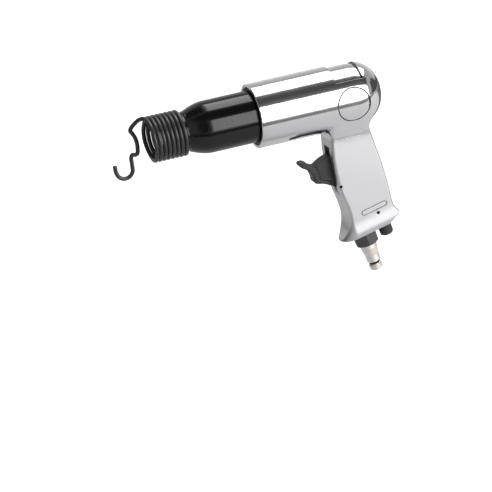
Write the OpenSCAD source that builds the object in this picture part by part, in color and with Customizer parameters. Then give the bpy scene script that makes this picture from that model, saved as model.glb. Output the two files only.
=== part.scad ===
// Pneumatic air hammer with a pistol grip and a coil-spring chisel retainer.
// Frame: origin at the centre of the muzzle face, +X forward out of the muzzle,
// +Y to the tool's left, +Z up. All lengths are in millimetres.

/* [Housing] */
// Radius of the polished body and of its rounded rear end
body_r = 24.5; // [23.5:0.25:26]
// Distance from the muzzle face back to the front rim of the body
body_front = 66; // [62:0.5:70]
// Distance from the muzzle face back to the centre of the rounded rear end
dome_centre = 143.5; // [142.5:0.5:150]
// Depth of the recessed panel on top
panel_depth = 1.5; // [0.5:0.25:2]
// Radius of the round badge on the side
badge_r = 13.1; // [8:0.1:13.5]

/* [Grip] */
// Rake of the grip's lower half and of the air inlet, in degrees
grip_rake = 13; // [12.5:0.25:13.5]
// Half the thickness of the grip
grip_half_w = 13; // [12.5:0.25:15]
// Radius of the grip's rear edges and of its front edges above the foot
grip_edge_r = 2; // [1.5:0.5:4]
// Width of the slot that the trigger swings in
slot_w = 11; // [10.5:0.25:12]

/* [Barrel] */
// Outer radius of the barrel
barrel_r = 19.8; // [19.4:0.1:20.4]
// Radius of the bore that takes the chisel's shank
shank_bore_r = 5.2; // [5:0.05:5.5]
// Length of the shank bore
shank_bore_len = 28; // [24:1:30]
// Radius of the cylinder that the piston runs in
cylinder_r = 9.5; // [9:0.1:10]
// Length of the piston, nose included
piston_len = 30; // [28:0.5:32]

/* [Retainer spring] */
// Diameter of the retainer's wire
wire_d = 3.2; // [2.8:0.1:3.2]
// Pitch of the retainer's coils
coil_pitch = 3.35; // [3.3:0.05:3.4]
// Mean radius of the open coils
coil_r = 16.1; // [16.1:0.1:16.6]
// Number of turns
coil_turns = 7.7; // [7:0.1:8]

/* [Trigger and air valve] */
// Width of the trigger's blade inside the slot
blade_w = 9.6; // [8:0.2:10]
// Width of the trigger's finger pad
pad_w = 12.4; // [11:0.2:15]
// Size of the inlet bushing's hexagon across its flats
hex_af = 17; // [17:0.5:18.5]

/* [Hidden] */
$fn = 72;

// Clearances
run_gap = 0.05;      // a shaft running in its hole, on the radius
seat_gap = 0.02;     // a pressed or screwed-in piece, on the radius
far = 60;            // longer than any cut has to be

// Barrel, valve pack and the bores behind them, as places along X
mouth_r = 22.3;
mouth_end = -87;
seat_r = 21.05;
barrel_rear = -105;
neck_len = 13.5;
neck_r = 15;
taper_len = 18;
seated_r = 16.1;        // mean radius of the coils on the neck
chamber_r = 18.5;
pack_r = chamber_r - run_gap;
plate_t = 6;
cover_t = 14;
washer_t = 3;
plate_rear = barrel_rear - plate_t;
cover_rear = plate_rear - cover_t;
chamber_end = cover_rear - washer_t;
plenum_r = 13;
plenum_end = -139;
drain_r = 1.5;
drain_ring_r = 14.8;
deflector_front = -body_front - 0.8;
deflector_t = 3.4;
dowel_r = 1.25;
dowel_ring_r = 14.2;
dowel_front = barrel_rear + 4;
dowel_rear = plate_rear - 6;

// Piston at the rear of its stroke
piston_rear = barrel_rear + 2;
piston_nose_len = 7;

// Shuttle disc of the automatic valve, in a pocket in the cover's front face
disc_r = 10;
disc_t = 1.2;
disc_travel = 0.8;
disc_gap = 0.2;
disc_front = plate_rear - disc_gap;
pocket_depth = disc_t + disc_travel + 2 * disc_gap;

// The grip's own frame: its origin is where the inlet's axis meets the foot plane,
// its Z runs up the inlet's axis and its X forward along the foot plane.
foot_x = -141;
foot_z = -108;

// Grip sections from the foot up: height, front, rear, half width, radius of the front edges
grip_sections = [
    [0,    20.5, -18.5, grip_half_w - 0.4, grip_half_w - 0.5],
    [0.8,  19.5, -20.7, grip_half_w + 0.1, grip_half_w - 0.5],
    [2.2,  17.8, -23.7, grip_half_w + 0.5, 11],
    [3.7,  16.1, -27.3, grip_half_w + 0.7, 9.2],
    [4.8,  15.0, -29.0, grip_half_w + 0.6, 8],
    [6,    13.9, -29.9, grip_half_w + 0.5, 6.4],
    [7.8,  12.3, -28.9, grip_half_w + 0.35, 4.6],
    [10.2, 10.6, -27.5, grip_half_w + 0.15, 3.2],
    [12.5, 9.5,  -27.0, grip_half_w, grip_edge_r],
    [16,   8.4,  -27.0, grip_half_w, grip_edge_r],
    [20,   7.9,  -27.5, grip_half_w, grip_edge_r],
    [25,   7.7,  -28.2, grip_half_w, grip_edge_r],
    [31,   7.9,  -28.8, grip_half_w, grip_edge_r],
    [38,   8.3,  -29.3, grip_half_w, grip_edge_r],
    [46,   8.3,  -29.8, grip_half_w, grip_edge_r],
    [54,   7.3,  -30.0, grip_half_w, grip_edge_r],
    [62,   6.0,  -30.0, grip_half_w, grip_edge_r],
    [70,   4.4,  -30.1, grip_half_w, grip_edge_r],
    [78,   2.2,  -30.2, grip_half_w, grip_edge_r],
    [95,   -3.9, -31.0, grip_half_w, grip_edge_r]];

// Trigger pivot and the blade's shape about it
pivot = [-124.4, -66];
pivot_r = 1.05;
hub_r = 2.6;
blade_r = 23.3;
blade_front_deg = 48.8;
blade_rear_deg = 86.7;
slot_rear = -126.5;
slot_top = -36.2;
slot_foot = -76.8;

// Throttle pin, which crosses from the trigger to the tilt valve's stem
pin_r = 1.25;
pin_z = -56;
pin_front = -123.95;
pin_rear = -130.2;
guide_r = 2.6;
guide_len = 2.0;

// Tilt valve and its seat, as heights in the grip's frame
valve_x = -3;
valve_top = 27;
valve_r = 4;
valve_t = 2.4;
stem_r = 1.3;
stem_top = 54;
seat_low = valve_top + 0.2;
seat_high = 32.2;
seat_hole_r = 2.4;
valve_bore_r = 5;
upper_r = 3.9;
upper_top = 57;

// Inlet bushing, screen and plug, as heights in the grip's frame
thread_r = 8.2;
thread_top = 10;
hex_low = -10.8;
hex_turn = 22;
washer_h = 0.8;
plug_thread_r = 6.55;
plug_thread_top = 1;
plug_tip = -33.3;
screen_t = 0.6;

// Air regulator, behind the inlet and parallel to it
reg_x = -17.3;
reg_bore_r = 5.3;
spool_r = reg_bore_r - run_gap;
spool_top = 44;
port_h = 40;
port_r = 2.6;
reg_pin_h = 12.6;
reg_pin_r = 1.15;
reg_pin_x = reg_x + 4.2;
reg_low = -11.2;
spool_low = 1.8;
gallery_r = 4;
gallery_top = 96;

// Helpers -------------------------------------------------------------

module rod_x(r, x0, x1, y = 0, z = 0) {
    translate([x0, y, z]) rotate([0, 90, 0]) cylinder(r = r, h = x1 - x0);
}

module ring_x(r_out, r_in, x0, x1) {
    difference() {
        rod_x(r_out, x0, x1);
        rod_x(r_in, x0 - 1, x1 + 1);
    }
}

module rod_y(r, y0, y1, x, z) {
    translate([x, y0, z]) rotate([-90, 0, 0]) cylinder(r = r, h = y1 - y0);
}

// Turned about the X axis from an outline of [radius, x] points
module turned_x() {
    rotate([0, 90, 0]) rotate_extrude() children();
}

module torus_x(mean_r, tube_r, x, y = 0, z = 0) {
    translate([x, y, z]) rotate([0, 90, 0]) rotate_extrude()
        translate([mean_r, 0]) circle(tube_r, $fn = 24);
}

// Puts its children in the grip's frame
module in_grip(x = 0, h = 0) {
    translate([foot_x, 0, foot_z]) rotate([0, grip_rake, 0]) translate([x, 0, h]) children();
}

module rod_g(r, h0, h1, x = 0) {
    in_grip(x, h0) cylinder(r = r, h = h1 - h0);
}

module torus_g(mean_r, tube_r, h, x = 0) {
    in_grip(x, h) rotate_extrude() translate([mean_r, 0]) circle(tube_r, $fn = 24);
}

// Points of an arc about a centre
function arc(c, r, a0, a1, n) = [for (i = [0 : n])
    let (a = a0 + (a1 - a0) * i / n) c + r * [cos(a), sin(a)]];

// An outline drawn in X and Z, given a thickness about Y = 0
module slab_y(w) {
    rotate([90, 0, 0]) linear_extrude(height = w, center = true) children();
}

// Faces of a tube made of `rings` closed rings of `sides` points, with flat ends
function tube_faces(rings, sides) = concat(
    [[for (k = [0 : sides - 1]) k]],
    [for (i = [0 : rings - 2]) for (k = [0 : sides - 1])
        let (a = i * sides, b = a + sides, n = (k + 1) % sides)
            each [[a + k, b + k, b + n], [a + k, b + n, a + n]]],
    [[for (k = [sides - 1 : -1 : 0]) (rings - 1) * sides + k]]);

function unit(v) = v / norm(v);

// Direction of a path at point i
function along(path, i) = unit(path[min(i + 1, len(path) - 1)] - path[max(i - 1, 0)]);

// A side direction carried from point to point, so that the tube doesn't twist
function carried(path, i, last) = unit(last - (last * along(path, i)) * along(path, i));
function sides_along(path, first) = [for (i = 0, s = carried(path, 0, first); i < len(path);
    i = i + 1, s = i < len(path) ? carried(path, i, s) : s) s];

// A round wire along a path of points
module wire(path, r, first, sides = 8) {
    us = sides_along(path, first);
    points = [for (i = [0 : len(path) - 1]) let (u = us[i], v = cross(along(path, i), u))
        for (k = [0 : sides - 1]) path[i] + r * (cos(360 * k / sides) * u + sin(360 * k / sides) * v)];
    polyhedron(points, tube_faces(len(path), sides), convexity = 12);
}

// Housing -------------------------------------------------------------

// A cylinder that ends at the rear in a dome, a little fuller than half a ball
dome_power = 2.2;
function dome_edge(r) = [for (a = [0 : 6 : 90])
    [r * pow(cos(a), 2 / dome_power), -dome_centre - r * pow(sin(a), 2 / dome_power)]];
module capsule(r, x1) {
    turned_x() polygon(concat(dome_edge(r), [[0, x1], [r, x1]]));
}

// Corners of a grip section: centre, start angle and radius of each
function grip_corners(s) = [
    [s[1] - s[4], s[3] - s[4], 0, s[4]], [s[2] + grip_edge_r, s[3] - grip_edge_r, 90, grip_edge_r],
    [s[2] + grip_edge_r, grip_edge_r - s[3], 180, grip_edge_r], [s[1] - s[4], s[4] - s[3], 270, s[4]]];
function grip_ring(s) = [for (c = grip_corners(s)) for (p = arc([c[0], c[1]], c[3], c[2], c[2] + 90, 5))
    [p[0], p[1], s[0]]];

module grip_skin() {
    points = [for (s = grip_sections) each grip_ring(s)];
    in_grip() polyhedron(points, tube_faces(len(grip_sections), 24));
}

module trigger_slot() {
    hub_wall = pivot[0] - hub_r - 0.5;
    slot_front = -100;
    slab_y(slot_w) polygon([[slot_rear - 2.5, slot_top], [slot_rear, pin_z],
        [hub_wall, pivot[1] + 4], [hub_wall, pivot[1] - 3], [slot_rear + 2, slot_foot],
        [slot_front, slot_foot], [slot_front, slot_top]]);
}

// A shallow panel across the top, the same angle either side of straight up
module top_panel() {
    panel_front = -129;
    panel_rear = -150.3;
    panel_half_deg = 49;
    difference() {
        translate([panel_rear, 0, 0]) rotate([0, 90, 0]) rotate([0, 0, 180 - panel_half_deg])
            rotate_extrude(angle = 2 * panel_half_deg)
                translate([body_r - panel_depth - 3, 0]) square([panel_depth + 5, panel_front - panel_rear]);
        capsule(body_r - panel_depth, -body_front);
    }
}

// The round place of the badge: between two skins, `low` and `high` above the body's surface
module badge_space(r, low, high) {
    badge_x = -139.6;
    badge_z = -1.8;
    intersection() {
        rod_y(r, 5, 40, badge_x, badge_z);
        difference() {
            capsule(body_r + high, -body_front - 20);
            capsule(body_r + low, -body_front - 10);
        }
    }
}

// A bar with round ends, drawn flat
module oval(half_len, r) {
    translate([-half_len, 0]) circle(r);
    translate([half_len, 0]) circle(r);
    square([2 * half_len, 2 * r], center = true);
}

// An engraved rounded outline on the grip's left side
module cartouche() {
    half_len = 8.7;
    outer_r = 2.1;
    line_w = 0.5;
    depth = 0.3;
    in_grip(-11.5, 17.4) translate([0, grip_half_w + 1, 0]) rotate([90, 0, 0])
        linear_extrude(height = 1 + depth)
        difference() {
            oval(half_len, outer_r);
            oval(half_len, outer_r - line_w);
        }
}

module housing() {
    color([0.8, 0.8, 0.82]) difference() {
        union() {
            capsule(body_r, -body_front);
            grip_skin();
        }
        rod_x(mouth_r, mouth_end, 0);
        rod_x(seat_r, barrel_rear, 0);
        rod_x(chamber_r, chamber_end, 0);
        rod_x(plenum_r, plenum_end, 0);
        rod_g(gallery_r, spool_top - 1, gallery_top, reg_x);
        rod_g(reg_bore_r, -5, spool_top, reg_x);
        rod_g(thread_r + seat_gap, -5, thread_top + screen_t);
        rod_g(valve_bore_r, 0, seat_high, valve_x);
        rod_g(upper_r, 20, upper_top, valve_x);
        in_grip(valve_x, port_h) rotate([0, -90, 0]) cylinder(r = port_r, h = valve_x - reg_x);
        trigger_slot();
        rod_y(pivot_r + seat_gap, -far, far, pivot[0], pivot[1]);
        in_grip(reg_pin_x, reg_pin_h) rotate([90, 0, 0])
            cylinder(r = reg_pin_r + seat_gap, h = far, center = true);
        rod_x(guide_r + seat_gap, slot_rear - guide_len, slot_rear + 1, 0, pin_z);
        rod_x(pin_r + 0.6, pin_rear - 1, slot_rear, 0, pin_z);
        top_panel();
        badge_space(badge_r + 0.25, -1.2, 2);
        cartouche();
    }
}

module side_badge() {
    color([0.82, 0.82, 0.84]) badge_space(badge_r, -1, 0);
}

// Barrel --------------------------------------------------------------

module barrel() {
    groove_x = [for (i = [0 : 3]) -1.2 - coil_pitch * i];
    port_x = -77;
    drain_front = -36;
    color([0.1, 0.1, 0.11]) difference() {
        turned_x() polygon(concat([[0, 0], [neck_r - 1, 0], [neck_r, -1], [neck_r, -neck_len]],
            [for (a = [10 : 10 : 90])
                [neck_r + (barrel_r - neck_r) * sin(a), -neck_len - taper_len * a / 90]],
            [[barrel_r, mouth_end], [seat_r - run_gap, mouth_end],
                [seat_r - run_gap, barrel_rear], [0, barrel_rear]]));
        for (x = groove_x) torus_x(seated_r + run_gap, wire_d / 2, x);
        rod_x(shank_bore_r, -shank_bore_len - 1, 1);
        rod_x(cylinder_r, barrel_rear - 1, -shank_bore_len);
        ring_x(seat_r + 1, 19.4, mouth_end - 4.6, mouth_end - 2.4);
        for (a = [45 : 90 : 315]) rotate([a, 0, 0]) rod_y(2, 5, 30, port_x, 0);
        for (s = [-1, 1]) {
            rod_x(drain_r, barrel_rear - 1, drain_front, 0, s * drain_ring_r);
            rod_x(dowel_r + seat_gap, barrel_rear - 1, dowel_front, s * dowel_ring_r, 0);
        }
        rotate([90, 0, 0]) rod_y(drain_r, -drain_ring_r, drain_ring_r, drain_front - drain_r, 0);
    }
}

module barrel_o_ring() {
    color([0.05, 0.05, 0.05]) torus_x(20.2, 0.78, mouth_end - 3.5);
}

module exhaust_deflector() {
    r_out = mouth_r - run_gap;
    r_in = barrel_r + run_gap;
    vents = 24;
    color([0.06, 0.06, 0.06]) difference() {
        ring_x(r_out, r_in, deflector_front - deflector_t, deflector_front);
        for (i = [0 : vents - 1]) rotate([i * 360 / vents, 0, 0])
            rod_x(0.6, deflector_front - deflector_t - 1, deflector_front + 1, (r_out + r_in) / 2, 0);
    }
}

module piston() {
    r = cylinder_r - run_gap;
    nose_r = 6;
    front = piston_rear + piston_len;
    color([0.75, 0.75, 0.78]) difference() {
        turned_x() polygon([[0, piston_rear], [r - 0.8, piston_rear], [r, piston_rear + 0.8],
            [r, front - piston_nose_len], [nose_r, front - piston_nose_len + 1.5],
            [nose_r, front - 0.8], [nose_r - 0.8, front], [0, front]]);
        rod_x(3.5, piston_rear - 1, piston_rear + 8);
        ring_x(r + 1, r - 0.6, piston_rear + 10, piston_rear + 11.5);
    }
}

// Valve pack ----------------------------------------------------------

module dowel_holes() {
    for (s = [-1, 1]) rod_x(dowel_r + seat_gap, dowel_rear, dowel_front, s * dowel_ring_r, 0);
}

module valve_seat_plate() {
    color([0.6, 0.6, 0.62]) difference() {
        rod_x(pack_r, plate_rear, barrel_rear);
        rod_x(4, plate_rear - 1, barrel_rear + 1);
        ring_x(8.5, 6.5, plate_rear - 1, plate_rear + 1.2);
        for (s = [-1, 1]) rod_x(drain_r, plate_rear - 1, barrel_rear + 1, 0, s * drain_ring_r);
        dowel_holes();
    }
}

module valve_disc() {
    color([0.7, 0.7, 0.72]) rod_x(disc_r, disc_front - disc_t, disc_front);
}

module valve_cover() {
    supply_ring_r = 8;
    color([0.55, 0.55, 0.57]) difference() {
        rod_x(pack_r, cover_rear, plate_rear);
        rod_x(disc_r + 0.4, plate_rear - pocket_depth, plate_rear + 1);
        rod_x(5, cover_rear - 1, cover_rear + 6);
        for (i = [0 : 5]) rotate([i * 60, 0, 0]) rod_x(1.6, cover_rear - 1, plate_rear, supply_ring_r, 0);
        for (s = [-1, 1]) {
            rod_x(drain_r, plate_rear - 6, plate_rear + 1, 0, s * drain_ring_r);
            translate([plate_rear - 5, 0, s * 10]) rotate([s > 0 ? 0 : 180, 0, 0]) cylinder(r = 1.3, h = 5);
        }
        dowel_holes();
    }
}

// A coned spring washer that holds the pack tight
module valve_spring_washer() {
    t = 1.4;
    inner = 13.6;
    outer = 18;
    color([0.3, 0.3, 0.32]) turned_x() polygon([[outer, chamber_end + 0.02], [outer, chamber_end + t],
        [inner, cover_rear - 0.02], [inner, cover_rear - t]]);
}

module valve_dowels() {
    color([0.75, 0.75, 0.78]) for (s = [-1, 1])
        rod_x(dowel_r, dowel_rear + 0.1, dowel_front - 0.1, s * dowel_ring_r, 0);
}

// Retainer spring -----------------------------------------------------

coil_front = 14.85;
rings_per_turn = 20;
seat_turns = 4;

// Radius of the coil: open at the front, closing down on to the neck at the rear.
// The first three turns also lean forward on one side.
function closing(t) = t <= 0 ? 0 : t >= 1 ? 1 : t * t * (3 - 2 * t);
function coil_radius(turn) = coil_r - (coil_r - seated_r) * closing((turn - coil_turns + seat_turns) / 1.4);
function front_lean(turn) = turn > 0 && turn < 3.5
    ? (1.5 - 0.5 * floor(turn)) * pow(max(0, -sin(360 * turn)), 2)
    : 0;
function coil_point(turn) = [coil_front - coil_pitch * turn + front_lean(turn),
    coil_radius(turn) * sin(360 * turn), coil_radius(turn) * cos(360 * turn)];

// The latch arm's bends from its hooked tip to the first coil
arm_bends = [
    [41.2, -9, -16.5], [41.1, -9, -21.3], [39.6, -9, -25.4], [36.5, -9, -27.7],
    [33, -9, -27.9], [30, -9, -26.4], [28.2, -9, -23.5], [28, -9, -19.6],
    [28, -9, -15.7], [27.8, -9, -12.9], [26.6, -9, -11.2], [24.8, -9, -11.7],
    [23, -9, -11.3], [22.1, -9, -9.2], [21.8, -9, -3.8], [22.6, -9, 1.1],
    [24.4, -9, 5.2], [25.5, -9, 7.2], [24.5, -8.5, 9.6], [21.9, -8, 12.1],
    [19, -6, 14.8], [16.5, -3, 16.1], [15, -0.2, 16.15]];

// A smooth curve through the bends
function bend(i) = arm_bends[max(0, min(len(arm_bends) - 1, i))];
function curve_at(i, t) = 0.5 * (2 * bend(i) + (bend(i + 1) - bend(i - 1)) * t
    + (2 * bend(i - 1) - 5 * bend(i) + 4 * bend(i + 1) - bend(i + 2)) * t * t
    + (3 * bend(i) - bend(i - 1) - 3 * bend(i + 1) + bend(i + 2)) * t * t * t);

module retainer_spring() {
    arm = [for (i = [0 : len(arm_bends) - 2]) for (t = [0, 0.5]) curve_at(i, t)];
    coil = [for (k = [1 : coil_turns * rings_per_turn]) coil_point(k / rings_per_turn)];
    color([0.09, 0.09, 0.1]) wire(concat(arm, coil), wire_d / 2, [0, 1, 0]);
}

// Trigger -------------------------------------------------------------

// The blade swings in the slot; its top edge is an arc about the pivot
module trigger_blade() {
    slab_y(blade_w) polygon(concat(arc(pivot, blade_r, blade_front_deg, blade_rear_deg, 12),
        [pivot + [0.25, hub_r + 1.2]], arc(pivot, hub_r, 150, 290, 8),
        [[-117.6, -64.6], [-108, -60.5], [-105.8, -54]]));
}

module trigger_pad() {
    slab_y(pad_w) polygon([[-109.1, -48.9], [-106, -47.6], [-103.6, -45.2], [-101.4, -43.9],
        [-98.6, -43.8], [-97.2, -45.2], [-97.8, -46.9], [-100.2, -48.4], [-102.8, -50.2],
        [-105, -52.7], [-106.2, -55.3], [-106.8, -57.9], [-106.8, -60.3], [-107.3, -61.4],
        [-109.7, -62.2], [-113, -62.6], [-115.8, -63.5], [-118.2, -65.2],
        [-118.9, -62.2], [-112, -59.5]]);
}

module trigger() {
    color([0.08, 0.08, 0.09]) difference() {
        union() {
            trigger_blade();
            trigger_pad();
        }
        rod_y(pivot_r + run_gap, -far, far, pivot[0], pivot[1]);
    }
}

module trigger_pin() {
    half = grip_half_w - 0.3;
    color([0.7, 0.7, 0.72]) rod_y(pivot_r, -half, half, pivot[0], pivot[1]);
}

module throttle_pin() {
    color([0.75, 0.75, 0.78]) rod_x(pin_r, pin_rear, pin_front, 0, pin_z);
}

module throttle_bushing() {
    color([0.8, 0.65, 0.3]) difference() {
        rod_x(guide_r, slot_rear - guide_len, slot_rear, 0, pin_z);
        rod_x(pin_r + run_gap, -far * 3, 0, 0, pin_z);
        rod_x(2.35, -far * 3, slot_rear - 0.9, 0, pin_z);
        rod_g(upper_r, 20, upper_top, valve_x);
    }
}

module throttle_o_ring() {
    color([0.05, 0.05, 0.05]) torus_x(pin_r + 0.08 + 0.48, 0.48, slot_rear - 1.42, 0, pin_z);
}

// Tilt valve ----------------------------------------------------------

module tilt_valve() {
    color([0.75, 0.75, 0.78]) in_grip(valve_x) rotate_extrude() polygon([
        [0, valve_top - valve_t], [valve_r - 0.6, valve_top - valve_t],
        [valve_r, valve_top - valve_t + 0.6], [valve_r, valve_top - 1],
        [stem_r, valve_top - 1], [stem_r, stem_top - 0.5],
        [stem_r - 0.5, stem_top], [0, stem_top]]);
}

module tilt_valve_face() {
    color([0.05, 0.05, 0.05]) difference() {
        rod_g(valve_r, valve_top - 1, valve_top, valve_x);
        rod_g(stem_r, valve_top - 2, valve_top + 1, valve_x);
    }
}

module valve_seat_bushing() {
    lip_r = 3.6;
    groove_floor = 4;
    color([0.8, 0.65, 0.3]) difference() {
        rod_g(valve_bore_r - seat_gap, seat_low, seat_high, valve_x);
        rod_g(seat_hole_r, seat_low - 1, seat_high + 1, valve_x);
        difference() {
            rod_g(valve_bore_r + 1, 29.3, 30.9, valve_x);
            rod_g(groove_floor, 29, 31, valve_x);
        }
        difference() {
            rod_g(valve_bore_r + 1, seat_low - 1, seat_low + 0.5, valve_x);
            rod_g(lip_r, seat_low - 2, seat_low + 1, valve_x);
        }
    }
}

module seat_o_ring() {
    color([0.05, 0.05, 0.05]) torus_g(4.5, 0.46, 30.1, valve_x);
}

module throttle_spring() {
    turns = 5;
    low = thread_top + screen_t + 0.6;
    high = valve_top - valve_t - 0.5;
    path = [for (k = [0 : turns * 16]) let (t = k / (turns * 16), r = 4.2 - 2.2 * t)
        [r * cos(360 * turns * t), r * sin(360 * turns * t), low + (high - low) * t]];
    color([0.7, 0.7, 0.72]) in_grip(valve_x) wire(path, 0.4, [1, 0, 0], 6);
}

// Inlet ---------------------------------------------------------------

module inlet_bushing() {
    flat_r = hex_af / 2;
    color([0.2, 0.2, 0.21]) difference() {
        union() {
            intersection() {
                in_grip(0, hex_low) rotate([0, 0, hex_turn])
                    cylinder(d = hex_af / cos(30), h = -hex_low - washer_h, $fn = 6);
                in_grip() rotate_extrude() polygon([[0, hex_low - 1], [flat_r, hex_low - 1],
                    [flat_r, hex_low], [flat_r + 1.4, hex_low + 1.1], [flat_r + 1.4, 1], [0, 1]]);
            }
            rod_g(thread_r, -washer_h - 0.5, thread_top);
        }
        rod_g(plug_thread_r + seat_gap, hex_low - 1, plug_thread_top + 1);
        rod_g(4.5, hex_low, thread_top + 1);
    }
}

module inlet_washer() {
    color([0.7, 0.45, 0.3]) difference() {
        rod_g(9.3, -washer_h, 0);
        rod_g(thread_r + seat_gap, -2, 1);
    }
}

// A perforated disc that the bushing presses against the end of its threaded hole
module inlet_screen() {
    holes = concat([[0, 0]], [for (i = [0 : 5]) [1.9, i * 60]], [for (i = [0 : 11]) [3.7, i * 30]]);
    color([0.7, 0.7, 0.72]) difference() {
        rod_g(thread_r - 0.3, thread_top, thread_top + screen_t);
        for (p = holes) in_grip() rotate([0, 0, p[1]]) translate([p[0], 0, thread_top - 1])
            cylinder(r = 0.55, h = 3, $fn = 24);
    }
}

module air_plug() {
    barb_r = 5.5;
    neck_r = 4.2;
    nose_r = 5.05;
    color([0.78, 0.76, 0.72]) difference() {
        in_grip() rotate_extrude() polygon([[0, plug_thread_top], [plug_thread_r, plug_thread_top],
            [plug_thread_r, hex_low - 3.6], [barb_r, hex_low - 10], [barb_r, -25.6], [barb_r - 0.5, -26.2],
            [neck_r, -26.6], [neck_r, -28.2], [nose_r - 0.4, -28.6], [nose_r, -29.2],
            [nose_r, plug_tip + 0.8], [nose_r - 0.8, plug_tip], [0, plug_tip]]);
        rod_g(2.7, plug_tip - 1, plug_thread_top + 1);
    }
}

// Regulator -----------------------------------------------------------

module regulator_spool() {
    groove_r = 2.7;
    color([0.75, 0.75, 0.78]) difference() {
        rod_g(spool_r, spool_low, spool_top, reg_x);
        difference() {
            rod_g(spool_r + 1, reg_pin_h - 1.5, reg_pin_h + 1.5, reg_x);
            rod_g(groove_r, 0, spool_top, reg_x);
        }
        for (h = [5, 33]) difference() {
            rod_g(spool_r + 1, h - 0.7, h + 0.7, reg_x);
            rod_g(4.2, 0, spool_top, reg_x);
        }
        rod_g(3, port_h - port_r - 1, spool_top + 1, reg_x);
        in_grip(reg_x, port_h) rotate([0, 90, 0]) cylinder(r = port_r, h = 10);
    }
}

module regulator_knob() {
    knob_r = 5.2;
    dome_h = 1.8;
    low = reg_low;
    color([0.08, 0.08, 0.09]) difference() {
        in_grip(reg_x) rotate_extrude() polygon(concat([[0, spool_low], [knob_r, spool_low]],
            [for (a = [0 : 15 : 90])
                [(knob_r - dome_h) + dome_h * cos(a), low + dome_h - dome_h * sin(a)]], [[0, low]]));
        in_grip(reg_x, low - 1) rotate([0, 0, 20]) translate([-far / 2, -0.7, 0]) cube([far, 1.4, 2.2]);
    }
}

module regulator_o_rings() {
    color([0.05, 0.05, 0.05]) for (h = [5, 33]) torus_g(4.73, 0.47, h, reg_x);
}

module regulator_pin() {
    half = grip_half_w - 0.3;
    color([0.7, 0.7, 0.72]) in_grip(reg_pin_x, reg_pin_h) rotate([90, 0, 0])
        cylinder(r = reg_pin_r, h = 2 * half, center = true);
}

housing();
side_badge();
barrel();
barrel_o_ring();
exhaust_deflector();
retainer_spring();
piston();
valve_seat_plate();
valve_disc();
valve_cover();
valve_spring_washer();
valve_dowels();
trigger();
trigger_pin();
throttle_pin();
throttle_bushing();
throttle_o_ring();
valve_seat_bushing();
seat_o_ring();
tilt_valve();
tilt_valve_face();
throttle_spring();
inlet_bushing();
inlet_washer();
inlet_screen();
air_plug();
regulator_spool();
regulator_knob();
regulator_o_rings();
regulator_pin();
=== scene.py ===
"""Looks for the pneumatic air hammer: smooth meshes over the CAD frame, materials, light and camera.

The working unit of the shape functions is the millimetre; meshes are scaled to metres when they are made.
"""
import math

import bpy
import numpy as np
from mathutils import Matrix, Vector


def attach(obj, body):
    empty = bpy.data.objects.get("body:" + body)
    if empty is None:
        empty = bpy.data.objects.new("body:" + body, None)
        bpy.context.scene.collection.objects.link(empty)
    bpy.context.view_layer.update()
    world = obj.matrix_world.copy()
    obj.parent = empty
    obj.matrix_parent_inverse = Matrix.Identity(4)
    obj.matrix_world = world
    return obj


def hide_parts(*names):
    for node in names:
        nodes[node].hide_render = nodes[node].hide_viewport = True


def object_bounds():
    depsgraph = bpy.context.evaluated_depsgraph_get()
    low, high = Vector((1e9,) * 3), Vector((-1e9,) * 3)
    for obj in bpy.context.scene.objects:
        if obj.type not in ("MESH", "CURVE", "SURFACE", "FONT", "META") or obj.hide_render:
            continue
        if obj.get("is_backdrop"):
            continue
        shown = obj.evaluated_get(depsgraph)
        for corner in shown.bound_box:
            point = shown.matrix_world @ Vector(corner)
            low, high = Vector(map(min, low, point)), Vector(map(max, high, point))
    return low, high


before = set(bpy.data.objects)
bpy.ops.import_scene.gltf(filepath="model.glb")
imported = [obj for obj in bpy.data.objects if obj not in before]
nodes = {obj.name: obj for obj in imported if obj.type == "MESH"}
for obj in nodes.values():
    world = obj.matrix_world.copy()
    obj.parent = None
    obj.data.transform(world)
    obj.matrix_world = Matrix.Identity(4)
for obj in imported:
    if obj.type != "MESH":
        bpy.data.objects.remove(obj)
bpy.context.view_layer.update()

# Dimensions shared with the CAD ------------------------------------------------

BODY_R, BODY_FRONT, DOME = 24.5, -66.0, -143.5
MOUTH_R, MOUTH_END = 22.3, -87.0
SEAT_R, BARREL_REAR = 21.05, -105.0
RAKE = math.radians(13)
FOOT_X, FOOT_Z = -141.0, -108.0
HALF_W, EDGE_R = 13.0, 2.0
DOME_POWER = 2.2
# height, front, rear, half width, radius of the front edges
GRIP = np.array([
    (-4, 20.3, -18.5, 12.9, 12.6), (0, 20.3, -18.5, 12.9, 12.6), (0.8, 19.5, -20.7, 13.1, 12.5),
    (2.2, 17.8, -23.7, 13.5, 11), (3.7, 16.1, -27.3, 13.7, 9.2), (4.8, 15.0, -29.0, 13.6, 8),
    (6, 13.9, -29.9, 13.5, 6.4), (7.8, 12.3, -28.9, 13.35, 4.6), (10.2, 10.6, -27.5, 13.15, 3.2),
    (12.5, 9.5, -27.0, 13, 2), (16, 8.4, -27.0, 13, 2), (20, 7.9, -27.5, 13, 2), (25, 7.7, -28.2, 13, 2),
    (31, 7.9, -28.8, 13, 2), (38, 8.3, -29.3, 13, 2), (46, 8.3, -29.8, 13, 2), (54, 7.3, -30.0, 13, 2),
    (62, 6.0, -30.0, 13, 2), (70, 4.4, -30.1, 13, 2), (78, 2.2, -30.2, 13, 2), (95, -3.9, -31.0, 13, 2)])
PIVOT = (-124.4, -66.0)
SLOT = [(-129.0, -36.2), (-126.5, -56.0), (-127.5, -62.0), (-127.5, -69.0), (-124.5, -76.8), (-100, -76.8),
        (-100, -36.2)]
REG_X, VALVE_X, PORT_H, THROTTLE_Z = -17.3, -3.0, 40.0, -56.0
BADGE_X, BADGE_Z, BADGE_R, BADGE_DEPTH = -139.6, -1.8, 13.1, 1.2
PANEL_X, PANEL_HALF_LEN, PANEL_HALF_ANGLE, PANEL_DEPTH = -139.7, 10.7, math.radians(49), 1.5
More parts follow.
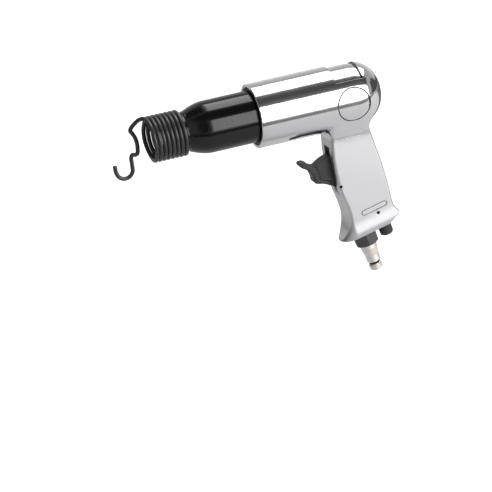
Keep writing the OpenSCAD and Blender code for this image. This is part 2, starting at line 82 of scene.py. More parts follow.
NECK_R, NECK_LEN, TAPER_LEN, BARREL_R = 15.0, 13.5, 18.0, 19.8
WIRE_R, PITCH, COIL_FRONT, COIL_R, SEATED_R, TURNS = 1.6, 3.35, 14.85, 16.1, 16.1, 7.7
ARM = [(41.2, -9, -16.5), (41.1, -9, -21.3), (39.6, -9, -25.4), (36.5, -9, -27.7), (33, -9, -27.9),
       (30, -9, -26.4), (28.2, -9, -23.5), (28, -9, -19.6), (28, -9, -15.7), (27.8, -9, -12.9),
       (26.6, -9, -11.2), (24.8, -9, -11.7), (23, -9, -11.3), (22.1, -9, -9.2), (21.8, -9, -3.8),
       (22.6, -9, 1.1), (24.4, -9, 5.2), (25.5, -9, 7.2), (24.5, -8.5, 9.6), (21.9, -8, 12.1),
       (19, -6, 14.8), (16.5, -3, 16.1), (15, -0.2, 16.15)]

# Distance functions: negative inside -------------------------------------------


def smin(a, b, k):
    t = np.clip(0.5 + 0.5 * (b - a) / k, 0, 1)
    return b + (a - b) * t - k * t * (1 - t)


def smax(a, b, k):
    return -smin(-a, -b, k)


def rod_x(x, y, z, r, x0, x1, y0=0.0, z0=0.0):
    return np.maximum(np.hypot(y - y0, z - z0) - r, np.maximum(x0 - x, x - x1))


def rod_h(xi, y, h, r, h0, h1, x0=0.0):
    return np.maximum(np.hypot(xi - x0, y) - r, np.maximum(h0 - h, h - h1))


def polygon_2d(u, v, points):
    """Signed distance to a polygon."""
    best = np.full(u.shape, 1e9)
    sign = np.ones(u.shape)
    n = len(points)
    for i in range(n):
        (ax, ay), (bx, by) = points[i], points[(i + 1) % n]
        ex, ey = bx - ax, by - ay
        wx, wy = u - ax, v - ay
        t = np.clip((wx * ex + wy * ey) / (ex * ex + ey * ey), 0, 1)
        best = np.minimum(best, (wx - ex * t) ** 2 + (wy - ey * t) ** 2)
        above, below = (v >= ay) & (v < by), (v < ay) & (v >= by)
        left = ex * wy > ey * wx
        sign = np.where((above & left) | (below & ~left), -sign, sign)
    return sign * np.sqrt(best)


def to_grip(x, z):
    dx, dz = x - FOOT_X, z - FOOT_Z
    return dx * math.cos(RAKE) - dz * math.sin(RAKE), dx * math.sin(RAKE) + dz * math.cos(RAKE)


def grip_table():
    hs = np.arange(-4, 95.01, 0.25)
    kernel = np.exp(-0.5 * (np.arange(-12, 13) * 0.25 / 0.9) ** 2)
    kernel /= kernel.sum()
    columns = []
    for c in range(1, 5):
        v = np.interp(hs, GRIP[:, 0], GRIP[:, c])
        columns.append(np.convolve(np.pad(v, 12, mode="edge"), kernel, mode="valid"))
    return hs, columns


GRIP_HS, GRIP_COLUMNS = grip_table()


def capsule(x, y, z):
    rear = np.maximum(DOME - x, 0)
    return (np.hypot(y, z) ** DOME_POWER + rear ** DOME_POWER) ** (1 / DOME_POWER) - BODY_R


def grip_shape(xi, y, h):
    front, rear, w, r_front = (np.interp(h, GRIP_HS, c) for c in GRIP_COLUMNS)
    px = xi - (front + rear) / 2
    r = np.where(px > 0, r_front, EDGE_R)
    qx, qy = np.abs(px) - (front - rear) / 2 + r, np.abs(y) - w + r
    d = np.minimum(np.maximum(qx, qy), 0) + np.hypot(np.maximum(qx, 0), np.maximum(qy, 0)) - r
    return np.maximum(smax(d, -h, 1.0), h - 95)


def oval_line(u, v, half_len, r, half_w):
    """Distance to the outline of a bar with round ends."""
    return np.abs(np.hypot(np.maximum(np.abs(u) - half_len, 0), v) - r) - half_w


def panel_edge(x, y, z):
    """Signed distance to the outline of the recessed panel on top."""
    round_body = (np.abs(np.arctan2(y, z)) - PANEL_HALF_ANGLE) * BODY_R
    return np.maximum(round_body, np.abs(x - PANEL_X) - PANEL_HALF_LEN)


def badge_edge(x, z):
    """Signed distance to the outline of the badge."""
    return np.hypot(x - BADGE_X, z - BADGE_Z) - BADGE_R


def cartouche_line(xi, h, half_w):
    """Distance to the cartouche's outline on the grip."""
    return oval_line(xi + 11.5, h - 17.4, 8.7, 1.85, half_w)


def housing_shape(x, y, z):
    xi, h = to_grip(x, z)
    body = capsule(x, y, z)
    d = smin(smax(body, x - BODY_FRONT, 0.8), grip_shape(xi, y, h), 7.0)
    # the panel on top and the badge's place
    d = smax(d, -np.maximum(panel_edge(x, y, z), -(body + PANEL_DEPTH)), 0.5)
    badge = np.maximum(badge_edge(x, z) - 0.25, 5 - y)
    d = smax(d, -np.maximum(badge, -(body + BADGE_DEPTH)), 0.3)
    # bores
    bores = rod_x(x, y, z, MOUTH_R, MOUTH_END, 0)
    for r, rear in ((SEAT_R, BARREL_REAR), (18.5, -128.0), (13.0, -139.0)):
        bores = np.minimum(bores, rod_x(x, y, z, r, rear, 0))
    for r, h0, h1, x0 in ((4, 43, 96, REG_X), (5.3, -5, 44, REG_X), (8.22, -5, 10.6, 0), (5, 0, 32.2, VALVE_X),
                          (3.9, 20, 57, VALVE_X)):
        bores = np.minimum(bores, rod_h(xi, y, h, r, h0, h1, x0))
    port = np.maximum(np.hypot(h - PORT_H, y) - 2.6, np.maximum(REG_X - xi, xi - VALVE_X))
    guide = np.minimum(rod_x(x, y, z, 2.62, -128.5, -125.5, 0, THROTTLE_Z),
                       rod_x(x, y, z, 1.85, -131.2, -126.5, 0, THROTTLE_Z))
    bores = np.minimum(bores, np.minimum(port, guide))
    bores = np.minimum(bores, np.hypot(x - PIVOT[0], z - PIVOT[1]) - 1.07)
    bores = np.minimum(bores, np.hypot(xi - REG_X - 4.2, h - 12.6) - 1.17)
    d = smax(d, -bores, 0.5)
    slot = np.maximum(polygon_2d(x, z, SLOT), np.abs(y) - 5.5)
    d = smax(d, -slot, 0.5)
    engraving = np.maximum(cartouche_line(xi, h, 0.25), HALF_W - 0.3 - y)
    return smax(d, -engraving, 0.2)


TRIGGER_BLADE = [(PIVOT[0] + 23.3 * math.cos(math.radians(a)), PIVOT[1] + 23.3 * math.sin(math.radians(a)))
                 for a in np.linspace(48.8, 86.7, 13)]
TRIGGER_BLADE += [(PIVOT[0] + 0.25, PIVOT[1] + 3.8)]
TRIGGER_BLADE += [(PIVOT[0] + 2.6 * math.cos(math.radians(a)), PIVOT[1] + 2.6 * math.sin(math.radians(a)))
                  for a in np.linspace(150, 290, 9)]
TRIGGER_BLADE += [(-117.6, -64.6), (-108, -60.5), (-105.8, -54)]
TRIGGER_PAD = [(-109.1, -48.9), (-106, -47.6), (-103.6, -45.2), (-101.4, -43.9), (-98.6, -43.8), (-97.2, -45.2),
               (-97.8, -46.9), (-100.2, -48.4), (-102.8, -50.2), (-105, -52.7), (-106.2, -55.3),
               (-106.8, -57.9), (-106.8, -60.3), (-107.3, -61.4), (-109.7, -62.2), (-113, -62.6),
               (-115.8, -63.5), (-118.2, -65.2), (-118.9, -62.2), (-112, -59.5)]


def slab(u, v, y, points, half, edge):
    """An extruded polygon with rounded edges."""
    d2, dy = polygon_2d(u, v, points) + edge, np.abs(y) - half + edge
    return np.minimum(np.maximum(d2, dy), 0) + np.hypot(np.maximum(d2, 0), np.maximum(dy, 0)) - edge


def trigger_shape(x, y, z):
    d = smin(slab(x, z, y, TRIGGER_BLADE, 4.8, 0.5), slab(x, z, y, TRIGGER_PAD, 6.2, 0.9), 1.6)
    return smax(d, -(np.hypot(x - PIVOT[0], z - PIVOT[1]) - 1.1), 0.2)


# Meshes from distance functions ------------------------------------------------


def gradient(shape, p, eps=0.03):
    """Slope of a distance function at each point."""
    g = np.empty_like(p)
    for a in range(3):
        lo, hi = p.copy(), p.copy()
        lo[:, a] -= eps
        hi[:, a] += eps
        g[:, a] = shape(*hi.T) - shape(*lo.T)
    return g / (2 * eps)


def settle(shape, p, rounds=5):
    """Moves points on to the surface."""
    for _ in range(rounds):
        g = gradient(shape, p)
        step = shape(*p.T)[:, None] * g / np.maximum((g * g).sum(1, keepdims=True), 0.05)
        length = np.linalg.norm(step, axis=1, keepdims=True)
        p = p - step * np.minimum(1, 0.4 / np.maximum(length, 1e-9))
    return p


def surface_net(shape, low, high, size):
    """Points and quads of a shape's surface on a grid of cubes."""
    axes = [np.arange(a, b + size, size) for a, b in zip(low, high)]
    f = np.empty([len(a) for a in axes])
    yy, zz = np.meshgrid(axes[1], axes[2], indexing="ij")
    for i, x in enumerate(axes[0]):
        f[i] = shape(np.full(yy.shape, x), yy, zz)
    inside = f < 0
    cells = tuple(n - 1 for n in f.shape)
    total, count = np.zeros(cells + (3,)), np.zeros(cells, int)
    edges = []
    for a in range(3):
        b, c = [i for i in range(3) if i != a]
        first = tuple(slice(0, -1) if i == a else slice(None) for i in range(3))
        second = tuple(slice(1, None) if i == a else slice(None) for i in range(3))
        crossed = inside[first] != inside[second]
        at = np.argwhere(crossed)
        f0, f1 = f[first][crossed], f[second][crossed]
        place = at.astype(float)
        place[:, a] += f0 / (f0 - f1)
        edges.append((a, at, inside[first][crossed]))
        for db in (0, 1):
            for dc in (0, 1):
                cell = at.copy()
                cell[:, b] -= db
                cell[:, c] -= dc
                ok = np.all((cell >= 0) & (cell < cells), axis=1)
                key = tuple(cell[ok].T)
                np.add.at(total, key, place[ok])
                np.add.at(count, key, 1)
    used = count > 0
    number = np.full(cells, -1)
    number[used] = np.arange(used.sum())
    points = total[used] / count[used][:, None] * size + np.array(low)
    quads = []
    for a, at, first_inside in edges:
        b, c = [(1, 2), (2, 0), (0, 1)][a]
        corners = []
        for db, dc in ((0, 0), (1, 0), (1, 1), (0, 1)):
            cell = at.copy()
            cell[:, b] -= db
            cell[:, c] -= dc
            corners.append(cell)
        ok = np.all([np.all((q >= 0) & (q < cells), axis=1) for q in corners], axis=0)
        ids = np.stack([number[tuple(q[ok].T)] for q in corners], axis=1)
        flip = ~first_inside[ok]
        ids[flip] = ids[flip][:, ::-1]
        quads.append(ids)
    return points, np.concatenate(quads)


def refine(shape, points, faces, sharp_deg, where=None):
    """Cuts each quad whose corner normals differ, or that `where` picks, into four; the mesh stays closed."""
    normals = gradient(shape, points)
    normals /= np.maximum(np.linalg.norm(normals, axis=1, keepdims=True), 1e-9)
    loops = [np.array(f) for f in faces]
    quads = np.array([f for f in loops if len(f) == 4])
    others = [f for f in loops if len(f) != 4]
    n = normals[quads]
    pairs = ((0, 1), (1, 2), (2, 3), (3, 0), (0, 2), (1, 3))
    spread = np.minimum.reduce([(n[:, i] * n[:, j]).sum(1) for i, j in pairs])
    pick = spread < math.cos(math.radians(sharp_deg))
    if where is not None:
        pick |= where(points[quads].mean(1))
    mids = {}
    count = len(points)
    extra = []

    def mid(i, j):
        nonlocal count
        key = (i, j) if i < j else (j, i)
        if key not in mids:
            mids[key] = count
            extra.append((points[i] + points[j]) / 2)
            count += 1
        return mids[key]

    out = []
    for q in quads[pick]:
        a, b, c, d = (int(i) for i in q)
        ab, bc, cd, da = mid(a, b), mid(b, c), mid(c, d), mid(d, a)
        extra.append(points[q].mean(0))
        m = count
        count += 1
        out += [[a, ab, m, da], [ab, b, bc, m], [m, bc, c, cd], [da, m, cd, d]]
    for q in list(quads[~pick]) + others:
        q = [int(i) for i in q]
        ring = []
        for i, v in enumerate(q):
            ring.append(v)
            key = (v, q[(i + 1) % len(q)])
            key = key if key[0] < key[1] else key[::-1]
            if key in mids:
                ring.append(mids[key])
        out.append(ring)
    points = np.concatenate([points, np.array(extra)]) if extra else points
    return settle(shape, points, 4), out


def mesh_object(name, points, faces, body, material, normals=None, replaces=()):
    """A piece that rides on a body and stands in for CAD nodes; points are in millimetres."""
    mesh = bpy.data.meshes.new(name)
    mesh.from_pydata((points / 1000).tolist(), [], [list(map(int, f)) for f in faces])
    mesh.validate()
    mesh.polygons.foreach_set("use_smooth", [True] * len(mesh.polygons))
    if normals is not None and len(mesh.vertices) == len(normals):
        mesh.normals_split_custom_set_from_vertices(normals.tolist())
    mesh.update()
    obj = bpy.data.objects.new(name, mesh)
    bpy.context.scene.collection.objects.link(obj)
    mesh.materials.append(material)
    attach(obj, body)
    if replaces:
        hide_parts(*replaces)
    return obj


def shape_object(name, shape, low, high, size, body, material, replaces, where=None, rounds=2):
    """A piece meshed from its distance function on a grid of `size`, finer where it bends."""
    points, faces = surface_net(shape, low, high, size)
    points = settle(shape, points)
    for _ in range(rounds):
        points, faces = refine(shape, points, faces, 14, where)
    normals = gradient(shape, points, 0.02)
    normals /= np.maximum(np.linalg.norm(normals, axis=1, keepdims=True), 1e-9)
    return mesh_object(name, points, faces, body, material, normals, replaces)


# Materials ---------------------------------------------------------------------


class Shader:
    """A material with one Principled shader, and short ways to make its nodes."""

    def __init__(self, name, color, metallic=0.0, roughness=0.4, **sockets):
        self.material = bpy.data.materials.new(name)
        self.material.use_nodes = True
        self.tree = self.material.node_tree
        self.bsdf = self.tree.nodes["Principled BSDF"]
        self.bsdf.inputs["Base Color"].default_value = (*color, 1)
        self.bsdf.inputs["Metallic"].default_value = metallic
        self.bsdf.inputs["Roughness"].default_value = roughness
        for key, value in sockets.items():
            self.bsdf.inputs[key.replace("_", " ")].default_value = value
        self.position = self.tree.nodes.new("ShaderNodeTexCoord").outputs["Object"]

    def link(self, a, b):
        self.tree.links.new(a, b)

    def scaled(self, x, y, z, turn_y=0.0):
        node = self.tree.nodes.new("ShaderNodeMapping")
        node.inputs["Scale"].default_value = (x, y, z)
        node.inputs["Rotation"].default_value = (0, turn_y, 0)
        self.link(self.position, node.inputs["Vector"])
        return node.outputs["Vector"]

    def noise(self, vector, scale=1.0, detail=3.0, roughness=0.5):
        node = self.tree.nodes.new("ShaderNodeTexNoise")
        node.inputs["Scale"].default_value = scale
        node.inputs["Detail"].default_value = detail
        node.inputs["Roughness"].default_value = roughness
        self.link(vector, node.inputs["Vector"])
        return node.outputs["Fac"]

    def ramp(self, value, low, high, out_low, out_high):
        node = self.tree.nodes.new("ShaderNodeMapRange")
        node.inputs["From Min"].default_value = low
        node.inputs["From Max"].default_value = high
        node.inputs["To Min"].default_value = out_low
        node.inputs["To Max"].default_value = out_high
        self.link(value, node.inputs["Value"])
        return node.outputs["Result"]

    def blend(self, fac, a, b, kind="FLOAT"):
        """a where fac is 0, b where it is 1; each may be a number, a colour or a socket."""
        node = self.tree.nodes.new("ShaderNodeMix")
        node.data_type = kind
        sockets = {"FLOAT": (0, 2, 3), "RGBA": (0, 6, 7)}[kind]
        for socket, value in zip(sockets, (fac, a, b)):
            target = node.inputs[socket]
            if isinstance(value, bpy.types.NodeSocket):
                self.link(value, target)
            else:
                target.default_value = (*value, 1) if kind == "RGBA" and socket else value
        return node.outputs[2 if kind == "RGBA" else 0]

    def axis(self, vector, name):
        node = self.tree.nodes.new("ShaderNodeSeparateXYZ")
        self.link(vector, node.inputs["Vector"])
        return node.outputs[name]

    def bump(self, height, strength, distance):
        node = self.tree.nodes.new("ShaderNodeBump")
        node.inputs["Strength"].default_value = strength
        node.inputs["Distance"].default_value = distance
        self.link(height, node.inputs["Height"])
        self.link(node.outputs["Normal"], self.bsdf.inputs["Normal"])

    def set(self, socket, value):
        self.link(value, self.bsdf.inputs[socket])


def aluminium():
    """Mirror-polished body that turns to fine satin on the grip, with painted shade darkening its grooves."""
    s = Shader("polished_aluminium", (0.80, 0.80, 0.815), metallic=1.0)
    grip = s.ramp(s.axis(s.position, "Z"), -0.021, -0.035, 0, 1)
    haze = s.noise(s.scaled(60, 60, 60), detail=4)
    brushed = s.noise(s.scaled(2500, 2500, 120, turn_y=RAKE), detail=2)
    buffed = s.noise(s.scaled(60, 1500, 1500), detail=2)
    mirror_rough, satin_rough = s.ramp(haze, 0.3, 0.7, 0.08, 0.13), s.ramp(brushed, 0.3, 0.7, 0.355, 0.385)
    s.set("Roughness", s.blend(grip, mirror_rough, satin_rough))
    polish = s.blend(haze, (0.78, 0.78, 0.795), (0.83, 0.83, 0.845), "RGBA")
    satin = s.blend(brushed, (0.655, 0.65, 0.665), (0.685, 0.68, 0.695), "RGBA")
    # painted shade: a point attribute darkens the metal along the engraving, the badge's gap and the panel's
    # edge, standing for the shade in these grooves
    groove_shade = s.tree.nodes.new("ShaderNodeAttribute")
    groove_shade.attribute_name = "groove_shade"
    unshaded_tone = s.blend(grip, polish, satin, "RGBA")
    s.set("Base Color", s.blend(groove_shade.outputs["Fac"], unshaded_tone, (0.06, 0.06, 0.063), "RGBA"))
    s.bump(s.blend(grip, buffed, s.noise(s.scaled(900, 900, 900))), 0.06, 0.00002)
    return s.material


def black_steel():
    """Glossy black oxide over fine turning marks."""
    s = Shader("blackened_steel", (0.003, 0.003, 0.003), roughness=0.1, Specular_IOR_Level=0.5,
               Anisotropic=0.8, Anisotropic_Rotation=0.25)
    marks = s.noise(s.scaled(2600, 14, 14), detail=3, roughness=0.6)
    bands = s.noise(s.scaled(500, 4, 4), detail=2)
    around = s.tree.nodes.new("ShaderNodeTangent")
    around.direction_type, around.axis = "RADIAL", "X"
    s.link(around.outputs["Tangent"], s.bsdf.inputs["Tangent"])
    s.set("Roughness", s.ramp(bands, 0.3, 0.7, 0.1, 0.2))
    s.set("Base Color", s.blend(marks, (0.0015, 0.0015, 0.0016), (0.004, 0.0038, 0.004), "RGBA"))
    s.bump(marks, 0.15, 0.00003)
    return s.material


def black_spring():
    """Dark, slightly rough spring wire."""
    s = Shader("blackened_spring", (0.02, 0.02, 0.022), roughness=0.34, Specular_IOR_Level=0.9)
    grain = s.noise(s.scaled(900, 900, 900), detail=4)
    s.set("Roughness", s.ramp(grain, 0.3, 0.7, 0.3, 0.4))
    s.set("Base Color", s.blend(grain, (0.011, 0.011, 0.0115), (0.02, 0.02, 0.021), "RGBA"))
    s.bump(grain, 0.05, 0.00002)
    return s.material


def black_plastic():
    """Fine-grained moulded plastic with a little wear."""
    s = Shader("black_plastic", (0.018, 0.018, 0.02), roughness=0.45)
    grain = s.noise(s.scaled(2200, 2200, 2200), detail=3)
    wear = s.noise(s.scaled(150, 150, 150), detail=4)
    s.set("Roughness", s.ramp(wear, 0.3, 0.7, 0.38, 0.52))
    s.set("Base Color", s.blend(wear, (0.016, 0.016, 0.018), (0.034, 0.034, 0.037), "RGBA"))
    s.bump(grain, 0.3, 0.00003)
    return s.material


def dark_steel():
    """Phosphated steel, blotchy and half dull."""
    s = Shader("dark_phosphate_steel", (0.07, 0.07, 0.075), metallic=0.8, roughness=0.4)
    grain = s.noise(s.scaled(700, 700, 700), detail=4)
    s.set("Roughness", s.ramp(grain, 0.3, 0.7, 0.32, 0.5))
    s.set("Base Color", s.blend(grain, (0.075, 0.075, 0.08), (0.15, 0.15, 0.155), "RGBA"))
    s.bump(grain, 0.2, 0.00004)
    return s.material


def metal(name, dark, light, rough_low, rough_high, groove_shadow_height=0):
    """Turned metal; the last argument, if set, is the height along the inlet's axis of a dark ring painted as
    the shadow in the groove.
    """
    s = Shader(name, light, metallic=1.0, roughness=rough_low)
    turned = s.noise(s.scaled(400, 400, 2200, turn_y=RAKE), detail=3)
    blotch = s.noise(s.scaled(220, 220, 220), detail=3)
    s.set("Roughness", s.ramp(turned, 0.3, 0.7, rough_low, rough_high))
    color = s.blend(blotch, dark, light, "RGBA")
    # painted shade: a dark ring round the plug stands for the shadow in its groove
    if groove_shadow_height:
        along = s.tree.nodes.new("ShaderNodeVectorMath")
        along.operation = "DOT_PRODUCT"
        along.inputs[1].default_value = (math.sin(RAKE), 0, math.cos(RAKE))
        s.link(s.position, along.inputs[0])
        at = (groove_shadow_height + FOOT_X * math.sin(RAKE) + FOOT_Z * math.cos(RAKE)) / 1000
        above = s.ramp(along.outputs["Value"], at - 0.0009, at - 0.0007, 0, 1)
        below = s.ramp(along.outputs["Value"], at + 0.0007, at + 0.0009, 1, 0)
        color = s.blend(s.blend(above, 0.0, below), color, (0.03, 0.03, 0.03), "RGBA")
    s.set("Base Color", color)
    s.bump(turned, 0.04, 0.00001)
    return s.material


def rubber():
    """Dull moulded rubber."""
    s = Shader("rubber", (0.02, 0.02, 0.02), roughness=0.7)
    grain = s.noise(s.scaled(1500, 1500, 1500), detail=3)
    s.set("Roughness", s.ramp(grain, 0.3, 0.7, 0.6, 0.8))
    s.bump(grain, 0.2, 0.00003)
    return s.material


MATERIALS = {
    "aluminium": aluminium(), "black_steel": black_steel(), "spring": black_spring(),
    "plastic": black_plastic(), "dark_steel": dark_steel(), "rubber": rubber(),
    "bright": metal("bright_steel", (0.5, 0.5, 0.51), (0.62, 0.62, 0.63), 0.2, 0.34),
    "brass": metal("brass", (0.70, 0.50, 0.22), (0.80, 0.60, 0.30), 0.22, 0.36),
    "nickel": metal("nickel_plate", (0.92, 0.86, 0.82), (0.96, 0.90, 0.86), 0.38, 0.46, groove_shadow_height=-27.4),
    "copper": metal("copper_washer", (0.55, 0.28, 0.16), (0.68, 0.38, 0.24), 0.3, 0.45),
}
NODE_MATERIALS = {
    "barrel_o_ring": "rubber", "exhaust_deflector": "plastic", "piston": "bright", "valve_seat_plate": "bright",
    "valve_disc": "bright", "valve_cover": "bright", "valve_spring_washer": "spring", "valve_dowels": "bright",
    "trigger_pin": "black_steel", "throttle_pin": "bright", "throttle_bushing": "brass",
    "throttle_o_ring": "rubber", "valve_seat_bushing": "brass", "seat_o_ring": "rubber", "tilt_valve": "bright",
    "tilt_valve_face": "rubber", "throttle_spring": "bright", "inlet_bushing": "dark_steel",
    "inlet_washer": "copper", "inlet_screen": "bright", "air_plug": "nickel", "regulator_spool": "bright",
    "regulator_knob": "plastic", "regulator_o_rings": "rubber", "regulator_pin": "black_steel",
}
for node, key in NODE_MATERIALS.items():
    materials = nodes[node].data.materials
    if not materials:
        materials.append(MATERIALS[key])
    for i in range(len(materials)):
        materials[i] = MATERIALS[key]

# Pieces ------------------------------------------------------------------------


def fine_places(p):
    """Where the housing needs a finer mesh: the engraving, pin holes, badge's rim and panel's edge."""
    x, y, z = p.T
    xi, h = to_grip(x, z)
    engraved = (cartouche_line(xi, h, 0.25) < 0.7) & (y > 12)
    holes = (np.hypot(x - PIVOT[0], z - PIVOT[1]) < 2) | (np.hypot(xi - REG_X - 4.2, h - 12.6) < 2)
    rim = (np.abs(badge_edge(x, z) - 0.25) < 0.7) & (y > 10)
    panel = (np.abs(panel_edge(x, y, z)) < 0.9) & (z > 5)
    return engraved | holes | rim | panel


casting = shape_object("housing_casting", housing_shape, (-170.5, -26.5, -119.5), (-65.5, 26.5, 26.5), 0.75,
                       "root", MATERIALS["aluminium"], ("housing",), where=fine_places)


def paint_groove_shade(mesh):
    """Paints shade into the engraving, the gap round the badge and the panel's edge: the metal is darkened
    there to stand for the shade in these grooves.
    """
    co = np.empty(len(mesh.vertices) * 3)
    mesh.vertices.foreach_get("co", co)
    x, y, z = co.reshape(-1, 3).T * 1000
    xi, h = to_grip(x, z)
    line = np.where(y > 12, -cartouche_line(xi, h, 0.42), -1)
    gap = np.where((y > 10) & (x < -120), 0.55 - np.abs(badge_edge(x, z) + 0.1), -1)
    on_top = (z > 5) & (capsule(x, y, z) > -1.8)
    edge = np.where(on_top, 0.45 - np.abs(panel_edge(x, y, z) - 0.1), -1)
    # painted shade, full in the engraving and the badge's gap, up to 0.9 along the panel's edge
    groove_shade = np.clip(np.maximum(line, gap) / 0.3, 0, 1)
    groove_shade = np.maximum(groove_shade, np.clip(edge / 0.3, 0, 0.9))
    mesh.attributes.new("groove_shade", "FLOAT", "POINT").data.foreach_set("value", groove_shade)


paint_groove_shade(casting.data)


def badge_shape(x, y, z):
    """A thin plate bent to the body's curve, with a rounded rim."""
    d = smax(badge_edge(x, z) + 0.4, capsule(x, y, z) + 0.02, 0.45)
    return np.maximum(d, np.maximum(BODY_R - 1.15 - np.hypot(y, z), 5 - y))


shape_object("badge_plate", badge_shape, (-154, 14, -16.5), (-125, 25.5, 13), 0.4, "root",
             MATERIALS["aluminium"], ("side_badge",))
shape_object("trigger_moulding", trigger_shape, (-128.5, -7.5, -70), (-95.5, 7.5, -41), 0.45, "trigger",
             MATERIALS["plastic"], ("trigger",), rounds=1)


def curve_points(bends, step):
    """Points of a smooth curve through the bends."""
    b = np.array(bends, float)
    ends = lambda i: b[max(0, min(len(b) - 1, i))]
    out = []
    for i in range(len(b) - 1):
        for t in np.arange(0, 1, step):
            p0, p1, p2, p3 = ends(i - 1), ends(i), ends(i + 1), ends(i + 2)
            out.append(0.5 * (2 * p1 + (p2 - p0) * t + (2 * p0 - 5 * p1 + 4 * p2 - p3) * t * t
                              + (3 * p1 - p0 - 3 * p2 + p3) * t ** 3))
    return np.array(out)


def retainer_path():
    turns = np.arange(1 / 72, TURNS, 1 / 72)
    a = 2 * math.pi * turns
    lean = np.interp(np.floor(turns), range(5), (1.5, 1.35, 1.1, 0.6, 0)) * np.maximum(-np.sin(a), 0) ** 2
    coil = np.stack([COIL_FRONT - PITCH * turns + lean, COIL_R * np.sin(a), COIL_R * np.cos(a)], axis=1)
    return np.concatenate([curve_points(ARM, 0.125), coil])


def tube(path, r, sides):
    """A round wire along a path, with rounded ends."""
    along = np.gradient(path, axis=0)
    along /= np.linalg.norm(along, axis=1, keepdims=True)
    side = np.array([0.0, 1.0, 0.0])
    rings, angle = [], 2 * math.pi * np.arange(sides) / sides

    def ring(p, t, u, scale):
        v = np.cross(t, u)
        return p + scale * r * (np.cos(angle)[:, None] * u + np.sin(angle)[:, None] * v)

    sides_along = []
    for t in along:
        side = side - (side @ t) * t
        side = side / np.linalg.norm(side)
        sides_along.append(side)
    cap = [(0.0, 0.55), (0.12, 0.82), (0.3, 0.96)]
    for back, scale in cap:
        rings.append(ring(path[0] + along[0] * back, along[0], sides_along[0], scale))
    for i in range(1, len(path) - 1):
        rings.append(ring(path[i], along[i], sides_along[i], 1))
    for back, scale in reversed(cap):
        rings.append(ring(path[-1] - along[-1] * back, along[-1], sides_along[-1], scale))
    points = np.concatenate(rings)
    n = len(rings)
    faces = [list(range(sides))]
    for i in range(n - 1):
        for k in range(sides):
            a, b, m = i * sides + k, (i + 1) * sides + k, (k + 1) % sides
            faces.append([a, b, (i + 1) * sides + m, i * sides + m])
    faces.append([(n - 1) * sides + k for k in range(sides - 1, -1, -1)])
    return points, faces


points, faces = tube(retainer_path(), WIRE_R, 18)
mesh_object("retainer_coil", points, faces, "root", MATERIALS["spring"],
            replaces=("retainer_spring",))


def barrel_mesh(sides=144):
    """Turned barrel with the spring's thread cut round its neck."""
    angle = 2 * math.pi * np.arange(sides) / sides
    taper = [(-NECK_LEN - TAPER_LEN * t, NECK_R + (BARREL_R - NECK_R) * math.sin(math.pi / 2 * t))
             for t in np.linspace(0.04, 1, 26)]
    neck = [(x, NECK_R + 0.35 * math.exp(-((x + 11.9) / 0.3) ** 2) + 0.4 * math.exp(-((x + 13.4) / 0.3) ** 2))
            for x in np.arange(-0.9, -NECK_LEN - 0.01, -0.18)]
    outer = [(0, 6.4), (0, 9), (0, 13.4), (-0.12, 13.9), (-0.45, 14.6)] + neck + taper
    outer += [(x, BARREL_R) for x in np.linspace(-33, -86.4, 28)]
    outer += [(MOUTH_END + 0.3, BARREL_R), (MOUTH_END + 0.05, BARREL_R + 0.1), (MOUTH_END, SEAT_R - 0.35),
              (MOUTH_END - 0.3, SEAT_R - 0.05), (-89.3, SEAT_R - 0.05), (-89.4, 19.4), (-91.6, 19.4),
              (-91.7, SEAT_R - 0.05), (-104.6, SEAT_R - 0.05), (-105, SEAT_R - 0.4), (-105, 9.6), (-104.9, 9.5)]
    inner = [(-100, 9.5), (-60, 9.5), (-28.1, 9.5), (-28, 9.4), (-28, 5.3), (-27.9, 5.2), (-14, 5.2),
             (-0.8, 5.2)]
    profile = outer + inner
    rings = []
    for x, r in profile:
        rr = np.full(sides, float(r))
        if -NECK_LEN - 1.2 < x < -0.2 and r > 13:
            # the coil passes this side at angle a from +Z towards +Y
            phase = (COIL_FRONT - x) / PITCH - angle / (2 * math.pi)
            off = (phase - np.round(phase)) * PITCH
            floor = SEATED_R + 0.05 - np.sqrt(np.maximum(WIRE_R ** 2 - off ** 2, 0))
            cut = np.where(np.abs(off) < WIRE_R, floor, 99)
            fade = np.clip((-0.3 - x) / 0.8, 0, 1)
            soft = -0.12 * np.log(np.exp(-np.minimum(cut, 20) / 0.12) + np.exp(-rr / 0.12))
            rr = rr + (np.minimum(soft, rr) - rr) * fade
        rings.append(np.stack([np.full(sides, float(x)), rr * np.sin(angle), rr * np.cos(angle)], axis=1))
    n = len(rings)
    faces = []
    for i in range(n):
        j = (i + 1) % n
        for k in range(sides):
            m = (k + 1) % sides
            faces.append([i * sides + k, i * sides + m, j * sides + m, j * sides + k])
    return np.concatenate(rings), faces


points, faces = barrel_mesh()
barrel = mesh_object("barrel_turning", points, faces, "root", MATERIALS["black_steel"],
                     replaces=("barrel",))
barrel.data.set_sharp_from_angle(angle=math.radians(38))

# Floor, light and camera -------------------------------------------------------


def ring_light(name, low_deg, high_deg, distance, x0, x1, radiance):
    """A soft panel, seen from the X axis between two angles about it, from x0 to x1."""
    mid = math.radians((low_deg + high_deg) / 2)
    half = math.radians((high_deg - low_deg) / 2)
    light = bpy.data.lights.new(name, "AREA")
    light.shape = "RECTANGLE"
    light.size, light.size_y = abs(x1 - x0), 2 * distance * math.tan(half)
    light.energy = math.pi * radiance * light.size * light.size_y
    panel = bpy.data.objects.new(name, light)
    panel.location = ((x0 + x1) / 2, distance * math.cos(mid), distance * math.sin(mid))
    toward = Vector((0, math.cos(mid), math.sin(mid)))
    along = Vector((1, 0, 0))
    panel.rotation_euler = Matrix((along, toward.cross(along), toward)).transposed().to_euler()
    panel.visible_camera = False
    bpy.context.scene.collection.objects.link(panel)


ring_light("front_panel", -14, 39, 0.9, -0.16, -1.3, 4.0)
ring_light("top_panel", 85, 127, 0.9, -0.16, -1.1, 4.0)


